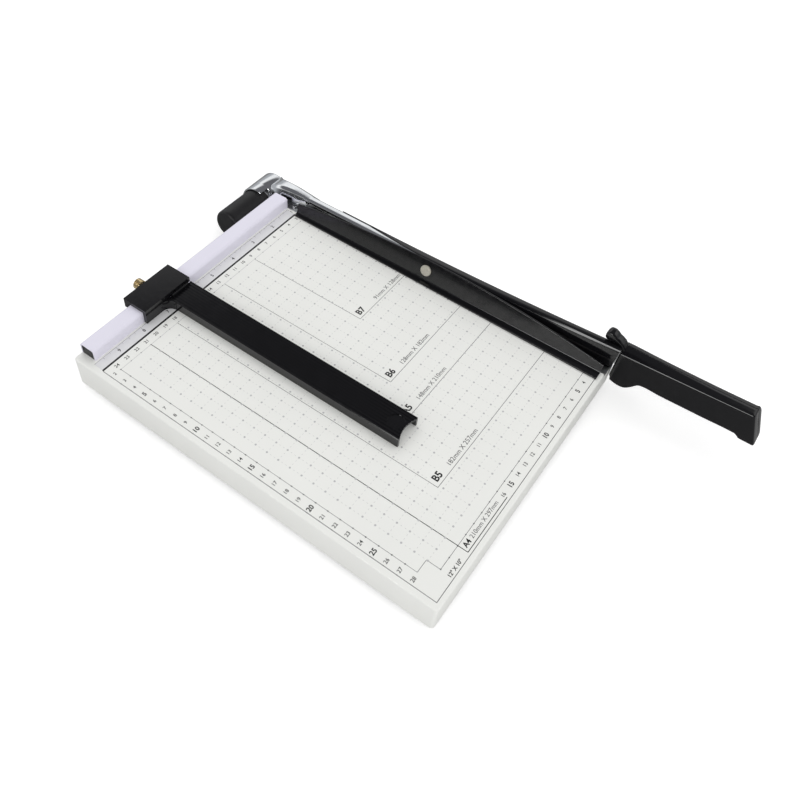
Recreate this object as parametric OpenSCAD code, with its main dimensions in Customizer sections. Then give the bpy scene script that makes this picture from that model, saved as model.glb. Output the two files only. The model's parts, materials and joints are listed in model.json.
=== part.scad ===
// Lever paper trimmer: printed steel board, rear fence with a sliding gauge, and a lever blade.
// X runs across the board with the cut edge at its right, Y runs away from the user, Z is up.
// Inside place(), X = 0 is the cut edge, Y = 0 the front of the fence and Z = 0 the board's top.

/* [Board] */
// Width of the board, from the cut edge to its left side
board_w = 255; // [220:1:330]
// Length of the board in front of the fence's front face
board_l = 303; // [260:1:420]
// Length of the board behind the fence's front face
board_back = 15; // [15:0.5:18]
// Height of the steel tray
board_h = 26.4; // [24:0.1:40]
// Sheet thickness of the tray
sheet = 1.5; // [1:0.1:2]
// Radius of the tray's upright corners
corner_r = 3; // [2.5:0.5:6]
// Radius of the tray's rolled top edge
edge_r = 2; // [1:0.1:3]

/* [Bed knife] */
// Width of the bed knife, a flat bar along the cut edge
knife_w = 23; // [21:0.5:23]
// Thickness of the bed knife
knife_t = 4; // [3:0.1:6]
// Step from the bed knife's edge in to the tray's right wall
knife_step = 1.2; // [1:0.1:2]
// Distance from the cut edge to the row of bed knife screws
knife_screw_in = 18; // [17.5:0.1:18]
// Number of bed knife screws
knife_screws_n = 4; // [2:1:8]

/* [Feet] */
// Diameter of a rubber foot
foot_d = 18; // [12:0.5:22]
// Height of a rubber foot
foot_h = 3.6; // [3:0.1:10]
// Distance from the tray's side wall to a foot's axis
foot_in = 12; // [12:0.5:16]
// Distance from the tray's front and rear walls to a foot's axis
foot_in_y = 20; // [14:0.5:22]
// Side of the square corner tab that carries a foot
tab_w = 30; // [28:0.5:40]

/* [Fence] */
// Distance from the tray's left side to the fence's left end
fence_left_gap = 8.5; // [8:0.5:40]
// Gap from the cut edge to the fence's right end
fence_gap = 23; // [23:0.5:30]
// Depth of the fence, front to back
fence_d = 14.5; // [12:0.1:15]
// Height of the fence above the board
fence_h = 10; // [8:0.1:14]
// Sheet thickness of the fence
fence_t = 1.2; // [0.8:0.1:2]
// Length of a plastic block inside the fence
block_l = 18; // [12:0.5:24]

/* [Side gauge] */
// Width of the slider bracket along the fence
slider_w = 48; // [40:0.5:60]
// Distance from the cut edge to the bracket's right side
slider_x = 149; // [100:1:180]
// Thickness of the bracket's top plate
slider_t = 3; // [2:0.1:5]
// Running gap between the bracket and the fence
slide_gap = 0.4; // [0.3:0.05:0.5]
// Width of the gauge arm
gauge_w = 24.5; // [20:0.5:30]
// Length of the gauge arm in front of the fence
gauge_l = 218; // [120:1:250]
// Height of the gauge arm
gauge_h = 9; // [8:0.1:9.5]
// Wall thickness of the gauge arm
gauge_t = 1.8; // [1.2:0.1:2.5]
// Number of ribs along the gauge arm's top
gauge_ribs = 9; // [5:1:12]
// Diameter of the thumb screw's shank
thumb_d = 5; // [4:0.1:6]
// Diameter of the thumb screw's head
thumb_head_d = 9; // [8:0.1:10]

/* [Pivot] */
// Distance of the pivot axis behind the fence's front face
pivot_y = 31.5; // [31.5:0.1:34]
// Depth of the pivot axis below the board's top
pivot_drop = 8.2; // [7:0.1:9]
// Diameter of the pivot bolt
bolt_d = 8; // [6:0.1:10]
// Outer radius of the arm's pivot head
head_r = 15.6; // [15.2:0.1:15.9]
// Width of the pivot head along the axis
head_w = 20; // [19:0.1:20.5]
// Outer radius of the spring cover
cover_r = 13.5; // [13:0.1:13.5]
// Length of the spring cover
cover_l = 44.5; // [42:0.5:60]

/* [Arm and blade] */
// Width of the arm over the board
arm_w = 16; // [14:0.1:16]
// Height of the arm's flat top above the board
arm_top = 12.6; // [11:0.1:14]
// Radius of the arm's upward curve
arm_curve_r = 3250; // [2500:50:6000]
// Length of the straight part of the arm before the curve
arm_straight = 80; // [60:1:120]
// Thickness of the blade
blade_t = 2.2; // [1.5:0.1:2.5]
// Depth of the blade's edge below the board's top, at the blade's middle
blade_drop = 22; // [18:0.1:23]
// Side clearance between the blade and the bed knife
blade_gap = 0.3; // [0.3:0.05:0.4]
// Number of blade screws
blade_screws_n = 5; // [3:1:8]

/* [Presser] */
// Width of the presser's foot on the paper
presser_foot = 8; // [6:0.1:9]
// Height of the presser's upright at its ends
presser_end_h = 8; // [7:0.1:10]
// Height of the presser's upright at its middle
presser_mid_h = 18.5; // [15:0.1:19]
// Length of the presser
presser_l = 288; // [200:1:400]
// Sheet thickness of the presser
presser_t = 1.5; // [1:0.1:1.6]
// Lean of the presser's upright towards the arm, degrees
presser_lean = 15; // [12:0.5:16]
// Distance of the presser rivet in front of the fence's front face
rivet_d = 143.6; // [100:0.1:190]
// Diameter of the presser rivet's head
rivet_head_d = 9.4; // [8:0.1:11]

/* [Handle] */
// Length of the handle
handle_l = 110; // [90:1:140]
// Width of the handle
handle_w = 16; // [15:0.5:20]
// Upward slope of the handle, degrees
handle_slope = 3.1; // [2:0.1:4]
// Height of the grip
grip_h = 22.9; // [21:0.1:28]
// Depth of the front block below the grip's upper ridge
block_h = 32.4; // [28:0.1:33]

/* [Hidden] */
$fn = 64;
over = 1;                       // overrun of a cut
fit = 0.1;                      // clearance of a screw in a plain hole
run = 0.05;                     // radial running clearance of a shaft
apart = 0.3;                    // gap between pieces that move past each other
hull_fn = 32;

floor_z = board_h + foot_h;     // height of the board's top above the table
fence_l = board_w - fence_gap - fence_left_gap;
arm_l = board_l;                // the handle starts just past the board

// small fasteners: shank radius, head radius, head height, nut width and height
m4_r = 2;
m4_head_r = 3.4;
m4_head_h = 1.6;
m4_nut_w = 7;
m4_nut_h = 3.2;
m3_r = 1.6;
m3_head_r = 3;
m3_head_h = 2;
m3_nut_w = 5.5;
m3_nut_h = 2.4;

// the ledge for the bed knife
ledge_x = knife_w + apart;
knife_screw_end = 12;
knife_pitch = (board_l + board_back - 2 * knife_screw_end) / (knife_screws_n - 1);

// feet
foot_r = foot_d / 2;
foot_recess_r = m4_head_r + 2 * apart;
foot_recess_h = foot_h - m4_head_h / 2;

// side gauge
skirt_t = 3;
slider_top = fence_h + slide_gap;
slider_front = slide_gap + skirt_t;
back_skirt_t = 5;
back_skirt_z = 4.5;
slider_back = fence_d + slide_gap + back_skirt_t;
thumb_z = fence_h - 3;
thumb_r = thumb_d / 2;
thumb_head_r = thumb_head_d / 2;
thumb_head_l = 6.5;
thumb_neck_l = 3;
thumb_x = slider_x + slider_w / 2 + 2;
pad_r = thumb_r - 0.2;
pad_l = 1.6;
gauge_x = slider_x - 1;
gauge_lift = 0.4;
rib_h = 0.5;
gauge_screw_in = 7;
gauge_root_l = 6;
gusset_r = 7.5;
scoop_r = 22;
scoop_depth = 2.6;
finger_r = 6.5;
finger_depth = 0.6;
finger_in = 10;

// pivot
bolt_r = bolt_d / 2;
head_right = 0.3;
head_left = head_right - head_w;
bush_t = 2;
lug_t = 3.2;
lug_right = head_left - apart;
lug_left = lug_right - lug_t;
lug_r = 12.6;
hub_l = 6.5;
hub_left = lug_left - hub_l;
cover_t = 1.5;
cover_in_r = cover_r - cover_t;
cover_left = lug_left - cover_l;
hood_l = 9.5;
hood_in_r = cover_r + 2 * apart;
hood_start = -25;
hood_end = 112;
washer_r = 8.5;
washer_t = 1.5;
bolt_head_w = 13;
bolt_head_h = 5.5;
washer_left = head_right + apart;
bolt_head_left = washer_left + washer_t;
x_max = bolt_head_left + bolt_head_h;
nut_h = 6.5;
seat_t = 1.6;
seat_r = 10.6;
cover_end_t = 3;
nut_clear = 1;
nut_left = cover_left + cover_end_t + nut_clear;
seat_left = nut_left + nut_h;
seat_right = seat_left + seat_t;
bolt_left = nut_left - nut_clear / 2;
spring_wire_r = 1;
spring_r = 7.6;
spring_turns = 6;
spring_steps = 12;
spring_sides = 6;
plate_t = 2.2;
plate_top = 9;
plate_bottom = 24;
plate_left = cover_left + 2 * corner_r;
plate_screw_z = 20.5;
plate_screws_n = 3;

// arm and blade
arm_bottom = 2.2;
arm_shoulder = 11.2;
arm_round = 2.4;
arm_flat_end = 8.6;
arm_leg_t = 2.3;
leg_in = blade_gap + blade_t;
leg_out = leg_in + arm_leg_t;
leg_bottom = 12;
leg_top = -0.8;
blade_top = -0.9;
leg_start = 12;
blade_start = 14;
blade_end = arm_l - 3;
blade_rise = 5;
bevel_h = 3;
blade_screw_z = 6;
blade_screw_in = 22;
blade_pitch = (blade_end - blade_start - 2 * blade_screw_in) / (blade_screws_n - 1);
arm_stations = 24;
arm_steps = 7;
cover_skin = 0.8;
cover_start = 36;
cover_mid = 80;
cover_full = 172;
cover_end = arm_l - apart;
tang_w = 6;
tang_h = 10;
tang_l = handle_l - 24;
tang_z = 2.6;
tang_screw_shares = [0.3, 0.8];

// presser
presser_gap = 0.3;
presser_x = 27.2;
presser_shift = 0.8;
presser_start = 12;
rivet_share = (rivet_d - presser_start) / presser_l;
presser_stations = 20;
rivet_up_share = 0.52;
rivet_shank_r = 2.5;
rivet_head_h = 1.2;
rivet_head_r = rivet_head_d / 2;
rivet_sink = 2.6;
rivet_up = presser_mid_h * rivet_up_share;
rivet_x = -presser_x + presser_foot / 2 - rivet_share * presser_shift
    + (rivet_up - presser_t) * tan(presser_lean);
rivet_depth = (-arm_w - rivet_x) / cos(presser_lean) + rivet_sink;

// handle
handle_x = 5;
handle_start = arm_l + 1.2;
handle_top = 15.7;
grip_r = 2.2;
grip_taper = 2.2;
front_lean = 4;
handle_left_x = -handle_x - handle_w / 2;
handle_right_x = -handle_x + handle_w / 2;
front_block_l = 12;
front_block_slope_l = 11;
grip_dome = 4;
grip_lip = 3.4;
grip_lip_l = 12;
end_lean = 20;
horn_l = 9;
horn_r = 3.6;
horn_neck_r = 1.9;
horn_w = 8;
horn_x = 6.5;
handle_end_y = -(handle_start + handle_l);
handle_end_z = handle_top + tan(handle_slope) * handle_l - grip_h - grip_taper - grip_lip;

// overall box and the shift that puts the origin under its middle
y_max = pivot_y + head_r;
mid_x = (x_max - board_w) / 2;
mid_y = (y_max + handle_end_y) / 2;

// rise of the arm's curve at a distance in front of the fence
function rise(d) = d < arm_straight ? 0 : pow(d - arm_straight, 2) / (2 * arm_curve_r);

// moves the finished object from the cut edge frame to its own origin
module place() translate([-mid_x, -mid_y, floor_z]) children();

// a block from one corner to the opposite corner
module box(a, b) translate(a) cube(b - a);

// cylinders along X, Y and Z that start at a point
module rod_x(p, r, l) translate(p) rotate([0, 90, 0]) cylinder(r = r, h = l);
module rod_y(p, r, l) translate(p) rotate([-90, 0, 0]) cylinder(r = r, h = l);
module rod_z(p, r, l) translate(p) cylinder(r = r, h = l);

// a slab with round upright corners
module round_slab(a, b, r) {
    box([a.x + r, a.y, a.z], [b.x - r, b.y, b.z]);
    box([a.x, a.y + r, a.z], [b.x, b.y - r, b.z]);
    for (x = [a.x + r, b.x - r], y = [a.y + r, b.y - r])
        rod_z([x, y, a.z], r, b.z - a.z);
}

// a closed solid through a list of outlines that have the same number of points
module loft(rings, flip = false) {
    n = len(rings[0]);
    m = len(rings);
    sides = [for (i = [0:m - 2], j = [0:n - 1], k = [0, 1])
        let (a = i * n + j, b = i * n + (j + 1) % n)
        flip ? (k == 0 ? [a, b, a + n] : [b, b + n, a + n])
            : (k == 0 ? [a, b, b + n] : [a, b + n, a + n])];
    first = [[for (j = [n - 1:-1:0]) j]];
    last = [[for (j = [0:n - 1]) (m - 1) * n + j]];
    polyhedron(points = [for (ring = rings, p = ring) p], faces = concat(first, sides, last),
        convexity = 6);
}

// an outline in X and Z set at a distance in front of the fence, lifted by dz
function ring_at(outline, d, dz = 0) = [for (p = outline) [p[0], -d, p[1] + dz]];

// a pan head screw along Z whose head sits on the point p and whose shank goes down
module screw_down(p, r, head_r, head_h, l) {
    rod_z(p, head_r, head_h);
    rod_z([p.x, p.y, p.z - l], r, l);
}

// a pan head screw along Z whose head hangs under the point p and whose shank goes up
module screw_up(p, r, head_r, head_h, l) {
    rod_z([p.x, p.y, p.z - head_h], head_r, head_h);
    rod_z(p, r, l);
}

// a hexagon nut along Z that stands on the point p
module nut_z(p, r, w, h) difference() {
    translate(p) cylinder(r = w / sqrt(3), h = h, $fn = 6);
    rod_z([p.x, p.y, p.z - over], r + fit, h + 2 * over);
}

// a post with a rolled top edge, for the tray's corners
module post(p, z0, z1) translate([p.x, p.y, z0]) {
    cylinder(r = corner_r, h = z1 - z0 - edge_r, $fn = hull_fn);
    translate([0, 0, z1 - z0 - edge_r]) rotate_extrude($fn = hull_fn)
        intersection() {
            translate([corner_r - edge_r, 0]) circle(r = edge_r, $fn = hull_fn);
            square([corner_r, edge_r]);
        }
}

function knife_spots() = [for (i = [0:knife_screws_n - 1])
    [-knife_screw_in, board_back - knife_screw_end - i * knife_pitch]];
function foot_spots() = [for (x = [-board_w + foot_in, -knife_step - foot_in],
    y = [-board_l + foot_in_y, board_back - foot_in_y]) [x, y]];
function block_lefts() = [for (share = [0, 0.5, 1])
    -fence_gap - fence_l + share * (fence_l - block_l)];
function plate_spots() = [for (i = [0:plate_screws_n - 1])
    plate_left + (i + 0.5) * (lug_left - plate_left) / plate_screws_n];

// BOARD GROUP

// the tray's outside, before it is hollowed and cut for the side rail
module tray_block() hull() for (x = [-board_w + corner_r, -knife_step - corner_r],
    y = [-board_l + corner_r, board_back - corner_r])
    post([x, y], -board_h, 0);

module base_tray() color("white") difference() {
    intersection() {
        tray_block();
        box([-board_w - over, -board_l - over, -board_h - over],
            [-ledge_x, board_back + over, over]);
    }
    round_slab([-board_w + sheet, -board_l + sheet, -board_h - over],
        [0, board_back - sheet, -sheet], corner_r - sheet);
    for (x = block_lefts())
        rod_z([x + block_l / 2, fence_d / 2, -sheet - over], m4_r + fit, sheet + 2 * over);
    for (x = plate_spots())
        rod_y([x, board_back - sheet - over, -plate_screw_z], m3_r + fit, sheet + 2 * over);
}

// the tray's right side: a wall, a ledge for the bed knife and a flange under the tray's top
module side_rail() color("white") difference() {
    union() {
        difference() {
            intersection() {
                tray_block();
                box([-ledge_x, -board_l - over, -board_h - over], [over, board_back + over, over]);
            }
            round_slab([-board_w / 2, -board_l + sheet, -board_h - over],
                [-knife_step - sheet, board_back - sheet, -knife_t - sheet], corner_r - sheet);
            box([-board_w / 2, -board_l - over, -knife_t], [over, board_back + over, over]);
        }
        box([-ledge_x - sheet, -board_l + sheet, -knife_t - sheet],
            [-ledge_x, board_back - sheet, -sheet]);
        box([-ledge_x - sheet, -board_l + sheet, -knife_t - sheet],
            [-ledge_x + sheet, board_back - sheet, -knife_t]);
    }
    for (p = knife_spots()) rod_z([p.x, p.y, -board_h / 2], m4_r + fit, board_h);
}

// plates welded into the tray's corners to carry the feet
module corner_tabs() color("white") difference() {
    for (x = [-board_w + sheet, -knife_step - tab_w], y = [-board_l + sheet, board_back - tab_w])
        round_slab([x, y, -board_h], [x + tab_w - sheet, y + tab_w - sheet, -board_h + sheet],
            corner_r - sheet);
    for (p = foot_spots()) rod_z([p.x, p.y, -board_h - over], m4_r + fit, sheet + 2 * over);
}

module bed_knife() color("silver") difference() {
    box([-knife_w, -board_l, -knife_t], [0, board_back, 0]);
    for (p = knife_spots()) rod_z([p.x, p.y, -knife_t - over], m4_r + fit, knife_t + 2 * over);
}

module knife_screws() color("gainsboro") for (p = knife_spots())
    screw_down([p.x, p.y, 0], m4_r, m4_head_r, m4_head_h, knife_t + sheet + m4_nut_h + fit);

module knife_nuts() color("silver") for (p = knife_spots())
    nut_z([p.x, p.y, -knife_t - sheet - m4_nut_h], m4_r, m4_nut_w, m4_nut_h);

module rubber_feet() color("dimgray") for (p = foot_spots()) difference() {
    rod_z([p.x, p.y, -floor_z], foot_r, foot_h);
    rod_z([p.x, p.y, -floor_z - over], foot_recess_r, foot_recess_h + over);
    rod_z([p.x, p.y, -floor_z], m4_r + fit, floor_z);
}

module foot_screws() color("silver") for (p = foot_spots())
    screw_up([p.x, p.y, -floor_z + foot_recess_h], m4_r, m4_head_r, m4_head_h,
        foot_h - foot_recess_h + sheet + m4_nut_h + fit);

module foot_nuts() color("silver") for (p = foot_spots())
    nut_z([p.x, p.y, -board_h + sheet], m4_r, m4_nut_w, m4_nut_h);

// the fence's outline across its length, an upside down channel with round shoulders
module fence_outline(inset, h) {
    r = 2 * fence_t - inset;
    translate([inset, 0]) {
        square([fence_d - 2 * inset, h - inset - r]);
        translate([r, 0]) square([fence_d - 2 * inset - 2 * r, h - inset]);
        for (y = [r, fence_d - 2 * inset - r]) translate([y, h - inset - r]) circle(r = r);
    }
}

module fence_rail() color("lavender")
    translate([-fence_gap - fence_l, 0, 0]) rotate([90, 0, 90])
        linear_extrude(fence_l) difference() {
            intersection() {
                fence_outline(0, fence_h);
                square([fence_d, fence_h]);
            }
            fence_outline(fence_t, fence_h);
            translate([fence_t, -over]) square([fence_d - 2 * fence_t, fence_h / 2]);
        }

module fence_blocks() color("dimgray") for (x = block_lefts()) difference() {
    box([x + fit, fence_t + fit, 0], [x + block_l - fit, fence_d - fence_t - fit,
        fence_h - 2 * fence_t]);
    rod_z([x + block_l / 2, fence_d / 2, -over], m4_r + run, fence_h);
}

module fence_screws() color("silver") for (x = block_lefts())
    screw_up([x + block_l / 2, fence_d / 2, -sheet], m4_r, m4_head_r, m4_head_h,
        sheet + fence_h - 3 * fence_t);

// PIVOT GROUP

module pivot_bracket() color("silver") difference() {
    union() {
        box([plate_left, board_back, -plate_bottom],
            [lug_right, board_back + plate_t, -plate_top]);
        box([lug_left, board_back, -pivot_drop - lug_r], [lug_right, pivot_y, -plate_top / 2]);
        rod_x([lug_left, pivot_y, -pivot_drop], lug_r, lug_t);
        rod_x([hub_left, pivot_y, -pivot_drop], cover_in_r - run, hub_l + over / 2);
    }
    rod_x([hub_left - over, pivot_y, -pivot_drop], bolt_r + fit, hub_l + lug_t + 2 * over);
    for (x = plate_spots())
        rod_y([x, board_back - over, -plate_screw_z], m3_r + fit, plate_t + 2 * over);
}

module bracket_screws() color("gainsboro") for (x = plate_spots()) {
    rod_y([x, board_back + plate_t, -plate_screw_z], m3_head_r, m3_head_h);
    rod_y([x, board_back - sheet - m3_nut_h, -plate_screw_z], m3_r,
        sheet + m3_nut_h + plate_t + m3_head_h);
}

module bracket_nuts() color("silver") for (x = plate_spots())
    translate([x, board_back - sheet, -plate_screw_z]) rotate([90, 0, 0])
        nut_z([0, 0, 0], m3_r, m3_nut_w, m3_nut_h);

module pivot_bolt() color("gainsboro") {
    translate([bolt_head_left, pivot_y, -pivot_drop]) rotate([0, 90, 0])
        cylinder(r = bolt_head_w / sqrt(3), h = bolt_head_h, $fn = 6);
    rod_x([bolt_left, pivot_y, -pivot_drop], bolt_r, bolt_head_left - bolt_left);
}

// a round washer along X
module washer_x(x, r, hole_r, t) difference() {
    rod_x([x, pivot_y, -pivot_drop], r, t);
    rod_x([x - over, pivot_y, -pivot_drop], hole_r, t + 2 * over);
}

module bolt_washer() color("silver") washer_x(washer_left, washer_r, bolt_r + fit, washer_t);

module spring_seat() color("silver") washer_x(seat_left, seat_r, bolt_r + fit, seat_t);

module lock_nut() color("silver") difference() {
    translate([nut_left, pivot_y, -pivot_drop]) rotate([0, 90, 0])
        cylinder(r = bolt_head_w / sqrt(3), h = nut_h, $fn = 6);
    rod_x([nut_left - over, pivot_y, -pivot_drop], bolt_r + run, nut_h + 2 * over);
}

// compression spring round the bolt, between the hub and its seat
module pivot_spring() color("gray") {
    x0 = seat_right + spring_wire_r + run;
    x1 = hub_left - spring_wire_r - run;
    n = spring_turns * spring_steps;
    loft([for (i = [0:n]) let (a = i * 360 / spring_steps, x = x0 + (x1 - x0) * i / n)
        [for (j = [0:spring_sides - 1]) let (b = j * 360 / spring_sides,
            r = spring_r + spring_wire_r * cos(b))
            [x + spring_wire_r * sin(b), pivot_y + r * cos(a), -pivot_drop + r * sin(a)]]]);
}

module spring_cover() color("black") translate([cover_left, pivot_y, -pivot_drop])
    rotate([0, 90, 0]) rotate_extrude() difference() {
        union() {
            translate([0, cover_end_t]) square([cover_r, cover_l - cover_end_t - fit]);
            square([cover_r - cover_end_t, cover_end_t]);
            intersection() {
                translate([cover_r - cover_end_t, cover_end_t]) circle(r = cover_end_t);
                square([cover_r, cover_end_t]);
            }
        }
        translate([0, cover_end_t]) square([cover_in_r, cover_l]);
    }

// SIDE GAUGE GROUP

// front skirt of the slider bracket: deep at its left end, with a hollow arc to the arm
// the skirt in front of the fence; a gusset curves from it along the gauge arm's left side
module front_skirt() {
    side = -gauge_x - gauge_w - fit;
    difference() {
        box([-slider_x - slider_w, -slider_front, gauge_lift],
            [-slider_x, -slide_gap, slider_top + over]);
        box([side, -slider_front - over, 0], [-slider_x + over, over, gauge_h + fit]);
    }
    difference() {
        box([side - gusset_r, -slider_front - gusset_r, gauge_lift],
            [side, -slider_front + over, gauge_h]);
        rod_z([side - gusset_r, -slider_front - gusset_r, 0], gusset_r - fit, slider_top);
    }
}

module slider_bracket() color("black") difference() {
    union() {
        box([-slider_x - slider_w, -slider_front, slider_top],
            [-slider_x, slider_back, slider_top + slider_t]);
        box([-slider_x - slider_w, fence_d + slide_gap, back_skirt_z],
            [-slider_x, slider_back, slider_top + over]);
        front_skirt();
        box([-slider_x - gauge_w + 2 * gauge_t, -gauge_root_l, gauge_h + fit],
            [-slider_x - 2 * gauge_t, -slide_gap, slider_top + over]);
    }
    rod_y([-thumb_x, fence_d, thumb_z], thumb_r + run, back_skirt_t + 2 * over);
    for (x = [slider_x + gauge_screw_in, slider_x + gauge_w - gauge_screw_in])
        rod_z([-x, -gauge_root_l / 2 - slide_gap, gauge_h], m3_r + run, slider_t);
}

module gauge_arm() color("black") {
    x0 = -gauge_x - gauge_w;
    rib_w = gauge_w / (2 * gauge_ribs + 1);
    difference() {
        union() {
            box([x0, -gauge_l, gauge_lift], [x0 + gauge_w, -slide_gap - fit, gauge_h - rib_h]);
            for (i = [0:gauge_ribs]) box([x0 + 2 * i * rib_w, -gauge_l, gauge_h - 2 * rib_h],
                [x0 + (2 * i + 1) * rib_w, -slider_front - fit, gauge_h]);
            box([x0, -gauge_root_l, gauge_h - 2 * rib_h], [x0 + gauge_w, -slide_gap - fit, gauge_h]);
        }
        box([x0 + gauge_t, -gauge_l - over, -over],
            [x0 + gauge_w - gauge_t, over, gauge_h - rib_h - gauge_t]);
        rod_z([x0 + gauge_w / 2, -gauge_l - scoop_r + scoop_depth, -over], scoop_r, 2 * gauge_h);
        rod_z([x0 + gauge_w / 2, -gauge_l + finger_in, gauge_h - rib_h - finger_depth],
            finger_r, gauge_h);
        for (x = [slider_x + gauge_screw_in, slider_x + gauge_w - gauge_screw_in])
            rod_z([-x, -gauge_root_l / 2 - slide_gap, -over], m3_r + fit, 2 * gauge_h);
    }
}

module arm_screws() color("silver")
    for (x = [slider_x + gauge_screw_in, slider_x + gauge_w - gauge_screw_in])
        screw_up([-x, -gauge_root_l / 2 - slide_gap, gauge_h - rib_h - gauge_t], m3_r, m3_head_r,
            m3_head_h, rib_h + gauge_t + slider_t / 2);

module clamp_pad() color("ivory")
    rod_y([-thumb_x, fence_d + apart, thumb_z], pad_r, pad_l);

module thumb_screw() color("goldenrod") {
    shank_start = fence_d + apart + pad_l + apart;
    head_start = slider_back + thumb_neck_l;
    rod_y([-thumb_x, shank_start, thumb_z], thumb_r, head_start - shank_start + thumb_head_l);
    rod_y([-thumb_x, head_start, thumb_z], thumb_head_r, thumb_head_l);
}

// LEVER GROUP

// outline of the arm over the board, in X and Z: left face, round shoulder, flat top and slope;
// its top rises by up, and skin is the depth cut back for the black cover
function arm_outline(up, skin) = let (x = -arm_w + skin, top = arm_top + up - skin,
    low = arm_shoulder - skin, h = top - low) [
    [x, arm_bottom], [x, low], [x + arm_round * 0.15, low + h * 0.4],
    [x + arm_round * 0.45, low + h * 0.75], [x + arm_round, top],
    [-arm_flat_end - skin / 2, top], [-skin / 2, leg_top + leg_out + up - skin],
    [leg_out - skin, leg_top + up - skin / 2], [leg_out - skin, -leg_bottom],
    [leg_in, -leg_bottom], [leg_in, blade_top + run], [blade_gap, blade_top + run],
    [blade_gap, arm_bottom]];

// the same at the pivot end, where the arm has no leg outside the cut edge
function neck_outline(left, shoulder, top, flat_end, bottom) = let (h = top - shoulder,
    edge = top - flat_end) [
    [-left, bottom], [-left, shoulder], [-left + arm_round * 0.3, shoulder + h * 0.6],
    [-left + arm_round, top], [-flat_end, top], [head_right - run, edge - head_right],
    [head_right - run, bottom]];

// rows of the neck: distance, left side, shoulder depth, top, end of the flat top, bottom
neck_rows = [
    [-pivot_y + 6, -head_left - run, 4, arm_top - 6, 1, -pivot_drop],
    [-pivot_y + 15, -head_left - run, 2.4, arm_top - 1.6, 5, arm_bottom],
    [-pivot_y + 27, -head_left - run, 2.4, arm_top - 0.2, 6.4, arm_bottom],
    [-pivot_y + 37, arm_w + 3, 2.2, arm_top - 0.4, 7.4, arm_bottom],
    [leg_start + 6, arm_w + 0.5, 1.6, arm_top - 0.3, 8.4, arm_bottom]];

arm_rows = concat([leg_start], [for (i = [0:arm_steps])
    arm_straight + i * (arm_l - arm_straight) / arm_steps]);

module knife_arm() color("silver") difference() {
    union() {
        // neck from the pivot head to the arm
        loft([
            for (n = neck_rows)
                ring_at(neck_outline(n[1], n[3] - n[2], n[3], n[4], n[5]), n[0])]);
        loft([for (d = arm_rows) ring_at(arm_outline(rise(d), cover_skin), d)]);
        // pivot head with a hood over the spring cover
        rod_x([head_left, pivot_y, -pivot_drop], head_r, head_w);
        hood();
        tang();
    }
    rod_x([head_left - over, pivot_y, -pivot_drop], bolt_r + bush_t, head_w + 2 * over);
    for (p = blade_spots()) rod_x([leg_in - over, p.x, p.y], m4_r + fit, arm_leg_t + 2 * over);
    for (share = tang_screw_shares) tang_bore(share, tang_w + 2 * over, m3_r + fit);
    on_rivet() cylinder(r = rivet_shank_r, h = rivet_depth);
}

module hood() translate([head_left - hood_l, pivot_y, -pivot_drop]) rotate([90, 0, 90])
    rotate([0, 0, hood_start]) rotate_extrude(angle = hood_end - hood_start)
        translate([hood_in_r, 0]) square([head_r - run - hood_in_r, hood_l + over]);

// the tang runs inside the handle along its slope
module on_slope() translate([0, -handle_start, 0]) rotate([-handle_slope, 0, 0]) children();
module tang() on_slope() box([-handle_x - tang_w / 2, -tang_l, tang_z],
    [-handle_x + tang_w / 2, 2 * over, tang_z + tang_h]);
module tang_bore(share, l, r) on_slope()
    rod_x([-handle_x - l / 2, -share * tang_l, tang_z + tang_h / 2], r, l);

module pivot_bush() color("peru") difference() {
    rod_x([head_left, pivot_y, -pivot_drop], bolt_r + bush_t - run, head_w);
    rod_x([head_left - over, pivot_y, -pivot_drop], bolt_r + run, head_w + 2 * over);
}

function blade_spots() = [for (i = [0:blade_screws_n - 1])
    [-blade_start - blade_screw_in - i * blade_pitch, -blade_screw_z]];

// depth of the cutting edge: deepest at the middle, less at both ends
function edge_z(d) = let (t = (d - blade_start) / (blade_end - blade_start))
    -blade_drop + blade_rise * pow(2 * t - 1, 2);

module blade() color("gainsboro") difference() {
    loft([for (i = [0:arm_stations])
        let (d = blade_start + i * (blade_end - blade_start) / arm_stations, z = edge_z(d))
        ring_at([[blade_gap, z], [blade_gap, blade_top], [blade_gap + blade_t, blade_top],
            [blade_gap + blade_t, z + bevel_h]], d)]);
    for (p = blade_spots()) rod_x([-over, p.x, p.y], m4_r + run, leg_out);
}

module blade_screws() color("silver") for (p = blade_spots()) {
    rod_x([leg_out - cover_skin, p.x, p.y], m4_head_r, m4_head_h);
    rod_x([blade_gap, p.x, p.y], m4_r, leg_out - blade_gap);
}

// black cover over the arm's top and left face; it starts as a point near the pivot
module arm_cover() color("black") difference() {
    intersection() {
        loft([for (d = arm_rows) let (o = arm_outline(rise(d), 0),
            q = arm_outline(rise(d), cover_skin))
            ring_at([for (i = [0:15]) i < 8 ? o[i] : q[15 - i]], d)], flip = true);
        translate([0, 0, -board_h]) linear_extrude(3 * board_h)
            polygon([[leg_out + over, -cover_start], [-arm_flat_end - apart, -cover_mid],
                [-arm_w - over, -cover_full], [-arm_w - over, -cover_end],
                [leg_out + over, -cover_end]]);
    }
    on_rivet() cylinder(r = rivet_shank_r, h = arm_w);
}

// origin on the rivet's axis at the upright's right face, Z along the axis into the arm
module on_rivet() translate([rivet_x, -rivet_d, presser_gap + rivet_up])
    rotate([0, 90 + presser_lean, 0]) children();

module presser_rivet() color("beige") on_rivet() {
    translate([0, 0, -presser_t - rivet_head_h - apart]) cylinder(r = rivet_head_r,
        h = rivet_head_h);
    translate([0, 0, -presser_t - rivet_head_h]) cylinder(r = rivet_shank_r - run,
        h = presser_t + rivet_head_h + rivet_depth - run);
}

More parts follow.
